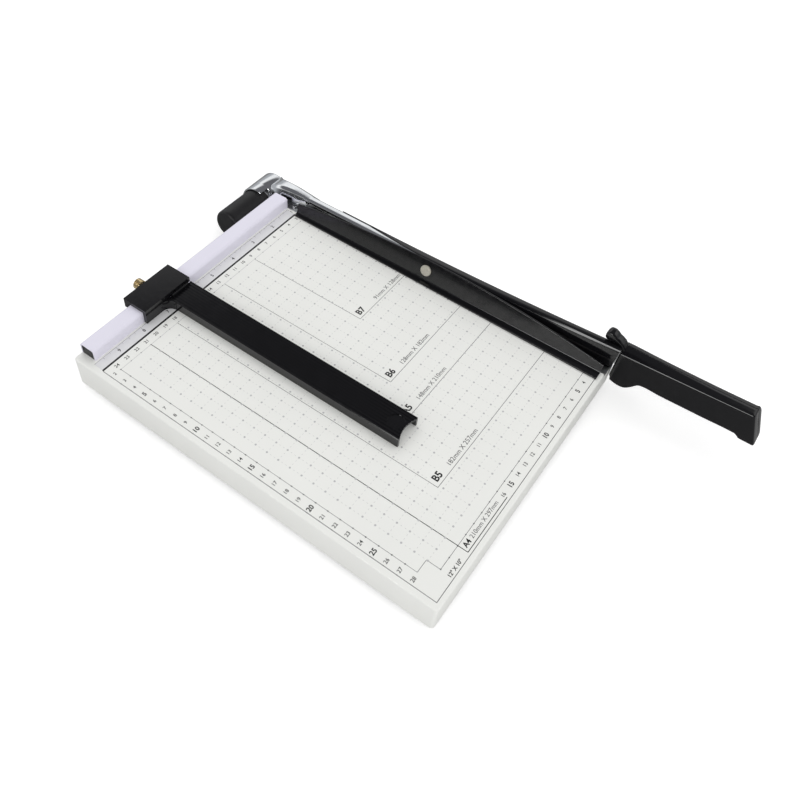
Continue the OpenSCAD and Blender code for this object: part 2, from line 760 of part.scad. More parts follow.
// the presser's outline at a share of its length: a foot that widens and a leaning upright
function presser_h(share) = let (t = 2 * share - 1)
    presser_end_h + (presser_mid_h - presser_end_h) * (1 - t * t);
function presser_ring(share) = let (h = presser_h(share), z = presser_gap, t = presser_t,
    x1 = -presser_x + presser_foot / 2 - share * presser_shift,
    x0 = x1 - presser_foot * (0.62 + 0.42 * share), k = tan(presser_lean)) [
    [x0, z], [x0, z + t], [x1 - t, z + t], [x1 - t + k * (h - t), z + h],
    [x1 + k * (h - t), z + h], [x1, z + t], [x1 - t * 0.1, z + t * 0.4], [x1 - t * 0.4, z]];

module presser_bar() color("black") difference() {
    loft([for (i = [0:presser_stations]) let (share = i / presser_stations)
        ring_at(presser_ring(share), presser_start + share * presser_l)]);
    on_rivet() translate([0, 0, -arm_w]) cylinder(r = rivet_shank_r, h = 2 * arm_w);
}

// HANDLE

// outline of the grip across its length: round below, a dome above that drops on the right
function grip_ring(z0, z1, dome) = let (w = handle_w / 2, r = grip_r, top = z1 + dome) [for (p = [
    [-w + r, z0], [-w + r * 0.3, z0 + r * 0.3], [-w, z0 + r], [-w, z1 - 0.8], [-w + 0.5, z1],
    [-w + 3, z1 + dome * 0.6], [-w + 6, z1 + dome * 0.9], [-w + 8.5, top], [w - 5, top - 0.2],
    [w - 3, top - 1.7], [w - 1.5, top - 3.4], [w - 0.4, top - 5.2], [w, top - 6.5], [w, z0 + r],
    [w - r * 0.3, z0 + r * 0.3], [w - r, z0]]) [p[0] - handle_x, p[1]]];

// rows of the grip: distance along it, depth below the ridge and share of the dome's height
grip_rows = [
    [0, block_h * 0.68, 1],
    [front_block_l * 0.08, block_h * 0.82, 1],
    [front_block_l * 0.22, block_h * 0.94, 0.97],
    [front_block_l * 0.4, block_h, 0.95],
    [front_block_l * 0.85, block_h * 1.017, 0.88],
    [front_block_l + front_block_slope_l * 0.2, block_h * 0.99, 0.82],
    [front_block_l + front_block_slope_l * 0.55, block_h * 0.6 + grip_h * 0.4, 0.75],
    [front_block_l + front_block_slope_l, grip_h, 0.66],
    [handle_l * 0.36, grip_h + grip_taper * 0.35, 0.43],
    [handle_l * 0.64, grip_h + grip_taper * 0.75, 0.12],
    [handle_l - grip_lip_l - 2.5, grip_h + grip_taper, 0],
    [handle_l - grip_lip_l, grip_h + grip_taper + grip_lip * 0.75, 0],
    [handle_l, grip_h + grip_taper + grip_lip, 0]];

module grip_body() difference() {
    loft([for (row = grip_rows) let (z = handle_top + tan(handle_slope) * row[0])
        ring_at(grip_ring(z - row[1], z, grip_dome * row[2]), handle_start + row[0])]);
    // the end face leans out towards its bottom, the front face leans back towards its top
    translate([0, -handle_start - handle_l, handle_end_z]) rotate([-end_lean, 0, 0])
        box([-handle_w * 2, -handle_w, 0], [handle_w * 2, 0, 2 * grip_h]);
    translate([0, -handle_start, 0]) rotate([front_lean, 0, 0])
        box([-handle_w * 2, 0, 0], [handle_w * 2, handle_w, 2 * grip_h]);
}

// a knob on the arm's end, joined to the grip by a neck
module horn() {
    low = arm_top + rise(arm_l) + apart;
    module pill(y, z, r) translate([-horn_x - horn_w / 2, y, z]) rotate([0, 90, 0])
        cylinder(r = r, h = horn_w, $fn = hull_fn);
    module joint() pill(-arm_l - 5 * apart, low + horn_neck_r, horn_neck_r);
    hull() {
        pill(-arm_l + horn_l, low + horn_r, horn_r);
        joint();
    }
    hull() {
        joint();
        pill(-handle_start - horn_neck_r, handle_top + horn_neck_r, horn_neck_r);
        pill(-handle_start - 2 * horn_r, handle_top - horn_neck_r, horn_neck_r);
    }
}

module handle_shell() difference() {
    union() {
        grip_body();
        horn();
    }
    on_slope() box([-handle_x - tang_w / 2 - fit, -tang_l - fit, tang_z - fit],
        [-handle_x + tang_w / 2 + fit, handle_w, tang_z + tang_h + fit]);
}

module handle_left() color("black") difference() {
    intersection() {
        handle_shell();
        box([-handle_w * 2, -2 * arm_l, -arm_l], [-handle_x, 0, arm_l]);
    }
    for (share = tang_screw_shares) tang_bore(share, handle_w - 2 * m3_head_h, m3_r + run);
}

module handle_right() color("black") difference() {
    intersection() {
        handle_shell();
        box([-handle_x, -2 * arm_l, -arm_l], [handle_w * 2, 0, arm_l]);
    }
    for (share = tang_screw_shares) {
        tang_bore(share, handle_w + 2 * over, m3_r + fit);
        on_slope() rod_x([handle_right_x - m3_head_h - fit, -share * tang_l, tang_z + tang_h / 2],
            m3_head_r + fit, handle_w);
    }
}

module handle_screws() color("silver") for (share = tang_screw_shares) on_slope() {
    rod_x([handle_right_x - m3_head_h - fit + run, -share * tang_l, tang_z + tang_h / 2],
        m3_head_r, m3_head_h);
    rod_x([handle_left_x + m3_head_h + fit, -share * tang_l, tang_z + tang_h / 2], m3_r,
        handle_w - 2 * m3_head_h - fit);
}

place() base_tray();
place() side_rail();
place() corner_tabs();
place() bed_knife();
place() knife_screws();
place() knife_nuts();
place() rubber_feet();
place() foot_screws();
place() foot_nuts();
place() fence_rail();
place() fence_blocks();
place() fence_screws();
place() pivot_bracket();
place() bracket_screws();
place() bracket_nuts();
place() pivot_bolt();
place() bolt_washer();
place() pivot_spring();
place() spring_seat();
place() lock_nut();
place() spring_cover();
place() slider_bracket();
place() gauge_arm();
place() arm_screws();
place() clamp_pad();
place() thumb_screw();
place() knife_arm();
place() pivot_bush();
place() blade();
place() blade_screws();
place() arm_cover();
place() presser_rivet();
place() presser_bar();
place() handle_left();
place() handle_right();
place() handle_screws();
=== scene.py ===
"""Lever paper trimmer: the looks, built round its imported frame.

Design coordinates are in millimetres: X = 0 is the cut edge, Y = 0 the front of the fence and
Z = 0 the board's top. P() turns them into the frame's metres.
"""
import json
import math

import bmesh
import bpy
from mathutils import Matrix, Vector


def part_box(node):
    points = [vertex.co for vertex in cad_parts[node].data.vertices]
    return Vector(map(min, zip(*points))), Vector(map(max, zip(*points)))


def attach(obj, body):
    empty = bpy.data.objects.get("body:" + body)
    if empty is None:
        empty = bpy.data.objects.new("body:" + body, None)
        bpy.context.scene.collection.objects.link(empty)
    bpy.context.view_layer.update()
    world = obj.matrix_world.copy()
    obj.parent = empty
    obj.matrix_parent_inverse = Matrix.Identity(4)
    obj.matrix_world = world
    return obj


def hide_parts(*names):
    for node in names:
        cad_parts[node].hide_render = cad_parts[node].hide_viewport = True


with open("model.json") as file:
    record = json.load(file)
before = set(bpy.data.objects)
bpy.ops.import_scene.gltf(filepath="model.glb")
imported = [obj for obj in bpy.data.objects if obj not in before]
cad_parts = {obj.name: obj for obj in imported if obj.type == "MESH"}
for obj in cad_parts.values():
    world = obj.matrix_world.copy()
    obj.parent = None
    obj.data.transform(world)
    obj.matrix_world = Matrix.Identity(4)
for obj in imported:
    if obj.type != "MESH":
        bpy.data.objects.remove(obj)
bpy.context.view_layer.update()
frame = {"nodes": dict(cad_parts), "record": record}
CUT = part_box("bed_knife")[1].x
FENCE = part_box("fence_rail")[0].y
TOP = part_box("bed_knife")[1].z
MM = 0.001


def P(x, y, z):
    """A design point in the frame's metres."""
    return Vector((CUT + x * MM, FENCE + y * MM, TOP + z * MM))


# MATERIALS

def material(name, colour, rough, metal=0.0, vary=0.04, scale=60.0, stretch=(1, 1, 1),
             bump=0.0, bump_scale=900.0, rough_vary=0.06, coat=0.0, coat_rough=0.1, level=0.5):
    """A node material: its colour and roughness drift with noise, and a finer noise lifts it."""
    mat = bpy.data.materials.new(name)
    mat.use_nodes = True
    tree = mat.node_tree
    nodes, links = tree.nodes, tree.links
    shader = nodes["Principled BSDF"]
    shader.inputs["Metallic"].default_value = metal
    shader.inputs["Coat Weight"].default_value = coat
    shader.inputs["Coat Roughness"].default_value = coat_rough
    shader.inputs["Specular IOR Level"].default_value = level
    place = nodes.new("ShaderNodeTexCoord")
    mapping = nodes.new("ShaderNodeMapping")
    mapping.inputs["Scale"].default_value = stretch
    links.new(place.outputs["Object"], mapping.inputs["Vector"])

    def noise(size, detail=3.0):
        node = nodes.new("ShaderNodeTexNoise")
        node.inputs["Scale"].default_value = size
        node.inputs["Detail"].default_value = detail
        links.new(mapping.outputs["Vector"], node.inputs["Vector"])
        return node.outputs["Fac"]

    def spread(value, low, high):
        node = nodes.new("ShaderNodeMapRange")
        node.inputs["From Min"].default_value = 0.3
        node.inputs["From Max"].default_value = 0.7
        node.inputs["To Min"].default_value = low
        node.inputs["To Max"].default_value = high
        links.new(value, node.inputs["Value"])
        return node.outputs["Result"]

    drift = noise(scale)
    ramp = nodes.new("ShaderNodeValToRGB")
    ramp.color_ramp.elements[0].position = 0.3
    ramp.color_ramp.elements[1].position = 0.7
    ramp.color_ramp.elements[0].color = [c * (1 - vary) for c in colour] + [1]
    ramp.color_ramp.elements[1].color = [min(1, c * (1 + vary)) for c in colour] + [1]
    links.new(drift, ramp.inputs["Fac"])
    links.new(ramp.outputs["Color"], shader.inputs["Base Color"])
    links.new(spread(noise(scale * 3), max(0.02, rough - rough_vary), rough + rough_vary),
              shader.inputs["Roughness"])
    if bump:
        lift = nodes.new("ShaderNodeBump")
        lift.inputs["Strength"].default_value = bump
        lift.inputs["Distance"].default_value = 0.0002
        links.new(noise(bump_scale, 4.0), lift.inputs["Height"])
        links.new(lift.outputs["Normal"], shader.inputs["Normal"])
    return mat


MATS = {
    "tray_white": material("tray_white", (0.875, 0.88, 0.85), 0.4, vary=0.01, scale=25,
                           bump=0.1, bump_scale=700, level=0.4),
    "fence_white": material("fence_white", (0.81, 0.79, 0.90), 0.34, vary=0.01, scale=40,
                            bump=0.05, bump_scale=500),
    "steel": material("steel", (0.52, 0.53, 0.54), 0.3, metal=1.0, vary=0.06, scale=40,
                      stretch=(1, 0.08, 1), bump=0.25, bump_scale=1400, rough_vary=0.08),
    "zinc": material("zinc", (0.62, 0.63, 0.64), 0.26, metal=1.0, vary=0.08, scale=300,
                     bump=0.15, bump_scale=1500, rough_vary=0.08),
    "chrome": material("chrome", (0.78, 0.80, 0.82), 0.11, metal=1.0, vary=0.03, scale=60,
                       bump=0.025, bump_scale=260, rough_vary=0.04),
    "foot_rubber": material("foot_rubber", (0.03, 0.03, 0.032), 0.7, vary=0.15, scale=200,
                            bump=0.4, bump_scale=1200, level=0.3),
    "black_paint": material("black_paint", (0.005, 0.005, 0.006), 0.16, vary=0.1, scale=80,
                            bump=0.04, bump_scale=300, coat=0.3, coat_rough=0.05, level=0.4),
    "black_plastic": material("black_plastic", (0.0055, 0.0055, 0.0065), 0.11, vary=0.12,
                              scale=90, bump=0.03, bump_scale=500, rough_vary=0.04, level=0.5),
    "dull_plastic": material("dull_plastic", (0.012, 0.012, 0.013), 0.42, vary=0.12, scale=120,
                             bump=0.2, bump_scale=900, level=0.4),
    "pad_plastic": material("pad_plastic", (0.75, 0.73, 0.66), 0.5, vary=0.05, bump=0.1),
    "brass": material("brass", (0.86, 0.69, 0.40), 0.22, metal=1.0, vary=0.1, scale=300,
                      bump=0.1, bump_scale=1200),
    "rivet_grey": material("rivet_grey", (0.50, 0.475, 0.41), 0.45, metal=0.3, vary=0.16,
                           scale=900, bump=0.3, bump_scale=1500),
    "ink_black": material("ink_black", (0.012, 0.012, 0.013), 0.4, vary=0.2, scale=500),
    "ink_grey": material("ink_grey", (0.10, 0.10, 0.105), 0.45, vary=0.1, scale=500),
    "ink_pale": material("ink_pale", (0.53, 0.53, 0.535), 0.45, vary=0.06, scale=500),
    "ink_band": material("ink_band", (0.77, 0.77, 0.78), 0.45, vary=0.02, scale=100),
}


# SHAPES

def edge_round(points, radii, steps=4):
    """The closed outline with its corners rounded: radii holds one radius for each corner."""
    n, out = len(points), []
    for i, (point, radius) in enumerate(zip(points, radii)):
        if not radius:
            out.append(point)
            continue
        here, back, ahead = Vector(point), Vector(points[i - 1]), Vector(points[(i + 1) % n])
        a, b = back - here, ahead - here
        turn = max(a.angle(b), 0.05)
        reach = min(radius / math.tan(turn / 2), a.length * 0.48, b.length * 0.48)
        start, end = here + a.normalized() * reach, here + b.normalized() * reach
        for k in range(steps + 1):
            s = k / steps
            out.append(tuple(start * (1 - s) ** 2 + here * 2 * s * (1 - s) + end * s * s))
    return out


class Shape:
    """Points and faces in design millimetres; may hold several closed shells."""

    def __init__(self):
        self.points, self.faces = [], []

    def add(self, points, faces):
        """Adds a shell, whose faces count its own points from 0."""
        n = len(self.points)
        self.points += [tuple(p) for p in points]
        self.faces += [tuple(i + n for i in face) for face in faces]
        return self

    def loft(self, rings, ends=True, closed=False):
        """Skin through outlines of equal length."""
        n, m = len(rings[0]), len(rings)
        faces = []
        for i in range(m if closed else m - 1):
            a, b = i * n, ((i + 1) % m) * n
            faces += [(a + j, a + (j + 1) % n, b + (j + 1) % n, b + j) for j in range(n)]
        if ends and not closed:
            faces += [tuple(range(n - 1, -1, -1)), tuple(range((m - 1) * n, m * n))]
        return self.add([p for ring in rings for p in ring], faces)

    def lathe(self, profile, at, axis="X", steps=48, start=0.0, sweep=360.0, closed=False):
        """profile: (distance along the axis, radius) pairs from one end to the other."""
        full = sweep >= 360
        count = steps if full else steps + 1
        rings = []
        for k in range(count):
            a = math.radians(start + sweep * k / steps)
            c, s = math.cos(a), math.sin(a)
            ring = []
            for t, r in profile:
                p = {"X": (t, r * c, r * s), "Y": (r * s, t, r * c), "Z": (r * c, r * s, t)}[axis]
                ring.append([p[i] + at[i] for i in range(3)])
            rings.append(ring)
        n = len(profile)
        if closed:
            return self.loft(rings, ends=not full, closed=full)
        faces = []
        for k in range(count if full else count - 1):
            a, b = k * n, ((k + 1) % count) * n
            faces += [(a + j, a + j + 1, b + j + 1, b + j) for j in range(n - 1)]
        first = [k * n for k in range(count)]
        last = [k * n + n - 1 for k in range(count)]
        if full:
            faces += [tuple(first), tuple(reversed(last))]
        return self.add([p for ring in rings for p in ring], faces)

    def box(self, a, b):
        """A block between two opposite corners."""
        return self.slab([(a[0], a[1]), (b[0], a[1]), (b[0], b[1]), (a[0], b[1])], a[2], b[2])

    def slab(self, outline, z0, z1):
        """An outline in X and Y between two heights."""
        return self.loft([[(x, y, z) for x, y in outline] for z in (z0, z1)])

    def moved(self, matrix):
        """A copy of the shape, moved by a matrix."""
        return Shape().add([matrix @ Vector(p) for p in self.points], self.faces)


def mesh_of(name, shape, merge=0.002):
    """The shape as a clean mesh in metres: points closer than merge millimetres are one."""
    mesh = bpy.data.meshes.new(name)
    mesh.from_pydata([P(*p) for p in shape.points], [], shape.faces)
    mesh.update()
    work = bmesh.new()
    work.from_mesh(mesh)
    bmesh.ops.remove_doubles(work, verts=work.verts, dist=merge * MM)
    bmesh.ops.dissolve_degenerate(work, dist=merge * MM * 0.5, edges=work.edges)
    bmesh.ops.recalc_face_normals(work, faces=work.faces)
    work.to_mesh(mesh)
    work.free()
    return mesh


def smooth(mesh, angle):
    """Smooth shading, broken at edges sharper than an angle in degrees."""
    work = bmesh.new()
    work.from_mesh(mesh)
    limit = math.radians(angle)
    for face in work.faces:
        face.smooth = True
    for edge in work.edges:
        edge.smooth = len(edge.link_faces) == 2 and edge.calc_face_angle(0) < limit
    work.to_mesh(mesh)
    work.free()


def carve(thing, shape, operation="DIFFERENCE"):
    """Cuts shape out of thing, or joins it on, for good."""
    tool = bpy.data.objects.new("tool", mesh_of("tool", shape))
    bpy.context.scene.collection.objects.link(tool)
    cut = thing.modifiers.new("cut", "BOOLEAN")
    cut.operation, cut.solver, cut.object = operation, "EXACT", tool
    keep(thing)
    bpy.data.objects.remove(tool)


def keep(thing):
    """Turns the modifiers into the mesh itself."""
    done = thing.evaluated_get(bpy.context.evaluated_depsgraph_get())
    mesh = bpy.data.meshes.new_from_object(done)
    thing.modifiers.clear()
    thing.data = mesh


def piece(name, shape, mat, body, nodes=(), angle=30, bevel=0.0, steps=2, limit=35, cuts=(),
          joins=()):
    """A piece in its place: bevel is in millimetres, angle is where shading breaks."""
    thing = bpy.data.objects.new(name, mesh_of(name, shape))
    bpy.context.scene.collection.objects.link(thing)
    for shape in joins:
        carve(thing, shape, "UNION")
    for shape in cuts:
        carve(thing, shape)
    if bevel:
        round_edges(thing, bevel, steps, limit)
        keep(thing)
    thing.data.name = name
    smooth(thing.data, angle)
    thing.data.materials.clear()
    thing.data.materials.append(MATS[mat])
    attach(thing, body)
    if nodes:
        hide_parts(*nodes)
    return thing


def round_edges(thing, width, steps=2, limit=35):
    """Rounds the edges sharper than a limit in degrees, by a width in millimetres."""
    mod = thing.modifiers.new("edges", "BEVEL")
    mod.width, mod.segments = width * MM, steps
    mod.limit_method, mod.angle_limit = "ANGLE", math.radians(limit)
    mod.use_clamp_overlap = True
    mod.miter_outer = "MITER_ARC"


# SIZES that the pieces share with the solids

BOARD_W, BOARD_L, BOARD_BACK, BOARD_H, SHEET = 255, 303, 15, 26.4, 1.5
PIVOT_Y, PIVOT_Z = 31.5, -8.2
HEAD_R, HEAD_BORE, HEAD_LEFT, HEAD_RIGHT = 15.6, 6.0, -19.7, 0.3
ARM_W, ARM_START, ARM_TOP, ARM_L, SHOULDER = 16, 12, 12.6, 303, 11.2
# the arm's underside, the leg on its right, and the room for the blade to the leg's left
ARM_LOW, LEG_IN, LEG_OUT, LEG_LOW, BLADE_LEFT, BLADE_TOP = 2.2, 2.5, 4.8, -12, 0.3, -0.85
# where the arm begins to curve up, and the radius of that curve near its start
RISE_FROM, RISE_R = 80, 3250
# how far the steel lies inside the cover's outer face
SKIN = 0.8
PRESS_START, PRESS_L = 12, 288
RIVET_D = 143.6
GRIP_START, GRIP_L, GRIP_TOP, SLOPE = 304.2, 110, 15.7, math.tan(math.radians(3.1))


def rise(d):
    """How far the arm's top has curved up at a distance in front of the fence."""
    return 0 if d < RISE_FROM else (d - RISE_FROM) ** 2 / (2 * RISE_R)


# ARM

def arm_outline(up, skin):
    """The arm's left side, top and right slope, a skin's thickness inside the cover."""
    x, top, low = -ARM_W + skin, ARM_TOP + up - skin, SHOULDER - skin
    h = top - low
    return [(x, ARM_LOW), (x, low), (x + 0.36, low + h * 0.4), (x + 1.08, low + h * 0.75),
            (x + 2.4, top), (-8.6 - skin / 2, top), (-skin / 2, 4 + up - skin),
            (LEG_OUT - skin, -0.8 + up - skin / 2)]


def arm_ring(d, skin):
    """The arm's whole outline at a distance in front of the fence."""
    under = [(LEG_OUT - skin, LEG_LOW), (LEG_IN, LEG_LOW), (LEG_IN, BLADE_TOP),
             (BLADE_LEFT, BLADE_TOP), (BLADE_LEFT, ARM_LOW)]
    pts = arm_outline(rise(d), skin) + under
    ring = edge_round(pts, [0.5, 2.0, 2.5, 2.0, 1.6, 1.2, 1.0, 1.0, 0.3, 0.2, 0.2, 0.2, 0.2], 3)
    return [(x, -d, z) for x, z in ring]


def neck_ring(d, left, shoulder, top, flat, bottom):
    """A ring of the neck: a leaning left face, a narrow rounded top and a slope to the right."""
    low = top - shoulder
    pts = [(-left, bottom), (-left, low), (-left + shoulder * 0.46, top - shoulder * 0.24),
           (-left + shoulder * 0.85, top), (-flat, top), (0.25, top - flat - 0.3),
           (0.25, bottom)]
    ring = edge_round(pts, [0.5, 3.0, 3.0, 3.0, 2.0, 0.8, 0.3], 4)
    return [(x, -d, z) for x, z in ring]


def spline(rows, count):
    """Rows of numbers as a smooth run of more rows, by the first number of each."""
    out = []
    for k in range(count + 1):
        t = rows[0][0] + (rows[-1][0] - rows[0][0]) * k / count
        i = max(j for j in range(len(rows) - 1) if rows[j][0] <= t + 1e-9)
        a, b = rows[i], rows[i + 1]
        before, after = rows[max(i - 1, 0)], rows[min(i + 2, len(rows) - 1)]
        gap = b[0] - a[0]
        s = (t - a[0]) / gap
        row = [t]
        for c in range(1, len(a)):
            m0 = (b[c] - before[c]) / (b[0] - before[0]) * gap
            m1 = (after[c] - a[c]) / (after[0] - a[0]) * gap
            row.append((2 * s ** 3 - 3 * s * s + 1) * a[c] + (s ** 3 - 2 * s * s + s) * m0
                       + (3 * s * s - 2 * s ** 3) * b[c] + (s ** 3 - s * s) * m1)
        out.append(row)
    return out


# distance in front of the fence, left side, shoulder, top, right end of the flat, bottom
NECK = [[-25.5, 19.65, 7, 6.6, 1, -8.2], [-16.5, 19.5, 6.8, 11, 5, 3.0],
        [-4.5, 18.4, 6.4, 12.3, 6.4, 3.5], [5.5, 17.1, 4.9, 12.2, 7.4, 3.2],
        [18, 15.4, 2, 11.7, 8.4, 2.2]]


def disc_profile(x0, x1, r, soft, bore):
    """The closed profile of a disc with a bore and soft rims."""
    left = [(x0 + soft * (1 - math.cos(a)), r - soft * (1 - math.sin(a)))
            for a in [k * math.pi / 8 for k in range(5)]]
    right = [(x1 - (x - x0), rr) for x, rr in reversed(left)]
    return [(x0, bore)] + left + right + [(x1, bore)]


# the hood stands out to the left of the head: its reach, its two radii, and its first angle
# and sweep in degrees, from +Y towards +Z
HOOD_OUT, HOOD_LOW, HOOD_HIGH, HOOD_FROM, HOOD_SWEEP = 9.5, 14.1, 15.55, -25, 137
# the bar's length, which ends half a millimetre short of the cover's stop
ARM_RUN = 291.4


def build_arm():
    """The chromed arm: its bar, the neck, the pivot head and the hood over the spring cover."""
    rows = [ARM_START + ARM_RUN * k / 72 for k in range(73)]
    shape = Shape().loft([arm_ring(d, SKIN) for d in rows])
    shape.loft([neck_ring(*row) for row in spline(NECK, 28)])
    shape.lathe(disc_profile(HEAD_LEFT, HEAD_RIGHT, HEAD_R, 1.2, HEAD_BORE),
                (0, PIVOT_Y, PIVOT_Z), steps=72, closed=True)
    out, back = HEAD_LEFT - HOOD_OUT, HEAD_LEFT + 1
    hood = edge_round([(out, HOOD_LOW), (out, HOOD_HIGH), (back, HOOD_HIGH), (back, HOOD_LOW)],
                      [0.3, 0.7, 0, 0], 3)
    shape.lathe(hood, (0, PIVOT_Y, PIVOT_Z), steps=40, start=HOOD_FROM, sweep=HOOD_SWEEP,
                closed=True)
    piece("arm_steel", shape, "chrome", "lever", ["knife_arm"], angle=40)


# pairs of X and the distance in front of the fence at which the cover begins there
COVER_ENDS = [(-17, 172), (-8.9, 80), (5.8, 36)]
COVER_STOP = ARM_L + 0.9


def cover_start(x):
    """Where the cover begins: near the pivot on the right, further out on the left."""
    for (x0, d0), (x1, d1) in zip(COVER_ENDS, COVER_ENDS[1:]):
        if x <= x1:
            break
    return d0 + (x - x0) / (x1 - x0) * (d1 - d0)


def build_cover():
    """The black cover over the arm, open below, cut slantwise at the pivot's end."""
    rings = []
    for k in range(73):
        ring = []
        # along the outer face, then back along the inner one, which sinks into the steel
        for skin, way in ((0, 1), (SKIN + 0.05, -1)):
            line = []
            for i, (x, z) in enumerate(arm_outline(rise(ARM_L), skin)):
                stop = COVER_STOP + max(0, z) * FRONT_LEAN
                d = cover_start(x) + (stop - cover_start(x)) * k / 72
                line.append((x, -d, arm_outline(rise(d), skin)[i][1]))
            ring += line[::way]
        ring = edge_round(ring, [0.2, 2.0, 2.5, 2.0, 1.6, 1.2, 1.0, 0.3] +
                          [0.2, 1.0, 1.2, 1.6, 2.0, 2.5, 2.0, 0.2], 3)
        rings.append(ring)
    piece("arm_cover_black", Shape().loft(rings), "black_plastic", "lever", ["arm_cover"],
          angle=40)


# PRESSER

PRESS_X, FOOT_W, LEAN_ANGLE = 27.2, 8, 15
LEAN = math.tan(math.radians(LEAN_ANGLE))
# its thickness, the gap to the board, and how far its line drifts left along its length
PRESS_T, PRESS_GAP, PRESS_DRIFT = 1.5, 0.3, 0.8
# its height at the ends, how much more in the middle, and how much more at the very start
PRESS_LOW, PRESS_BOW, PRESS_HEEL, HEEL_SHARE = 8, 10.5, 1.3, 0.35
# how high the rivet is, as a share of the height in the middle
RIVET_SHARE = 0.52


def presser_ring(share):
    """The presser's outline, a flat foot and a leaning wall, at a share of its length."""
    h = PRESS_LOW + PRESS_BOW * (1 - (2 * share - 1) ** 2) + \
        PRESS_HEEL * max(0, 1 - share / HEEL_SHARE)
    z, t = PRESS_GAP, PRESS_T
    x1 = -PRESS_X + FOOT_W / 2 - share * PRESS_DRIFT
    x0 = x1 - FOOT_W * (0.62 + 0.42 * share)
    pts = [(x0, z), (x0, z + t), (x1 - t, z + t), (x1 - t + LEAN * (h - t), z + h),
           (x1 + LEAN * (h - t), z + h), (x1, z + t), (x1 - t * 0.1, z + t * 0.4),
           (x1 - t * 0.4, z)]
    ring = edge_round(pts, [0.4, 0.5, 1.2, 0.6, 0.6, 0.6, 0.3, 0.5], 3)
    return [(x, -(PRESS_START + share * PRESS_L), zz) for x, zz in ring]


def on_rivet():
    """Matrix of the rivet's own frame: Z runs along its axis, into the arm."""
    share = (RIVET_D - PRESS_START) / PRESS_L
    up = (PRESS_LOW + PRESS_BOW) * RIVET_SHARE
    x = -PRESS_X + FOOT_W / 2 - share * PRESS_DRIFT + (up - PRESS_T) * LEAN
    tilt = Matrix.Rotation(math.radians(90 + LEAN_ANGLE), 4, "Y")
    return Matrix.Translation((x, -RIVET_D, PRESS_GAP + up)) @ tilt


def build_presser():
    """The curved presser bar and the rivet that it rocks on."""
    piece("presser_black", Shape().loft([presser_ring(k / 72) for k in range(73)]),
          "black_paint", "presser", ["presser_bar"], angle=40)
    shank = 2.4
    profile = [(-2.95, 0), (-3.0, 3.2), (-2.95, 4.1), (-2.75, 4.55), (-2.45, 4.7), (-1.75, 4.7),
               (-1.7, shank), (3.9, shank), (3.9, 0)]
    rivet = Shape().lathe(profile, (0, 0, 0), "Z", 48).moved(on_rivet())
    piece("rivet_head", rivet, "rivet_grey", "lever", ["presser_rivet"], angle=35)


# HANDLE

# half the grip's width, its corner, the crown's height and the seam's X
GRIP_W, GRIP_R, GRIP_DOME, GRIP_SEAM = 8, 2.2, 4, -5
# each half stays this far from the seam
SEAM_GAP = 0.05
FRONT_LEAN, END_LEAN = math.tan(math.radians(4)), math.tan(math.radians(20))
# distance along the grip, its depth, and the share of the crown over its left edge
GRIP = [[0, 27.2, 1], [0.9, 29.8, 1], [2.4, 30.9, 0.97], [5.6, 32.2, 0.95], [10.2, 32.9, 0.88],
        [14.2, 32.1, 0.82], [18, 28.7, 0.75], [23, 23.1, 0.66], [39.6, 23.7, 0.43],
        [70.4, 24.5, 0.12], [95.5, 25.1, 0], [98, 27.6, 0], [104, 28.2, 0], [110, 28.5, 0]]


def grip_outline(z0, z1, dome, side):
    """Half of the grip's outline, from the seam over the top to the seam under it."""
    w, r, top = GRIP_W, GRIP_R, z1 + dome
    if side < 0:
        pts = [(-SEAM_GAP, top - 0.05), (-w + 6, z1 + dome * 0.9), (-w + 3, z1 + dome * 0.6),
               (-w + 0.5, z1), (-w, z1 - 0.8), (-w, z0 + r), (-w + r * 0.3, z0 + r * 0.3),
               (-w + r, z0), (-SEAM_GAP, z0)]
        radii = [0.12, 3, 2, 0.8, 0.8, 2, 1.5, 2, 0.12]
    else:
        pts = [(SEAM_GAP, top - 0.05), (0.5, top), (w - 5, top - 0.2), (w - 3, top - 1.7),
               (w - 1.5, top - 3.4), (w - 0.4, top - 5.2), (w, top - 6.5), (w, z0 + r),
               (w - r * 0.3, z0 + r * 0.3), (w - r, z0), (SEAM_GAP, z0)]
        radii = [0.12, 0.4, 1.5, 1.5, 2, 1.5, 1.5, 2, 1.5, 2, 0.12]
    return edge_round([(x + GRIP_SEAM, z) for x, z in pts], radii, 3)


# the horn's outline: distance in front of the fence, and height
HORN = [(290.5, 22.2), (290.4, 25.2), (291.5, 27.7), (293.2, 28.3), (295.9, 28.2), (298.0, 26.9),
        (299.9, 25.3), (302.5, 24.2), (305.2, 22.4), (307.4, 19.4), (309.5, 15.0), (305.8, 12.0),
        (305.0, 15.0), (304.6, 17.5), (303.4, 20.6), (292.2, 20.6)]


def inset(outline, by):
    """The outline moved inwards, whichever way its points run."""
    n = len(outline)
    area = sum(a[0] * b[1] - a[1] * b[0]
               for a, b in zip(outline, outline[1:] + outline[:1]))
    turn = 1 if area > 0 else -1
    out = []
    for i, p in enumerate(outline):
        a, b = Vector(outline[i - 1]), Vector(outline[(i + 1) % n])
        along = (b - a).normalized() * turn
        out.append((p[0] - along.y * by, p[1] + along.x * by))
    return out


def horn_half(outline, seam, end, r):
    """Rings of half the horn, from the seam to its soft outer side."""
    way = 1 if end > seam else -1
    rings = [[(seam, y, z) for y, z in outline]]
    for k in range(6):
        a = math.radians(k * 18)
        x = end - way * r * (1 - math.sin(a))
        rings.append([(x, y, z) for y, z in inset(outline, r * (1 - math.cos(a)) * 0.5)])
    return rings


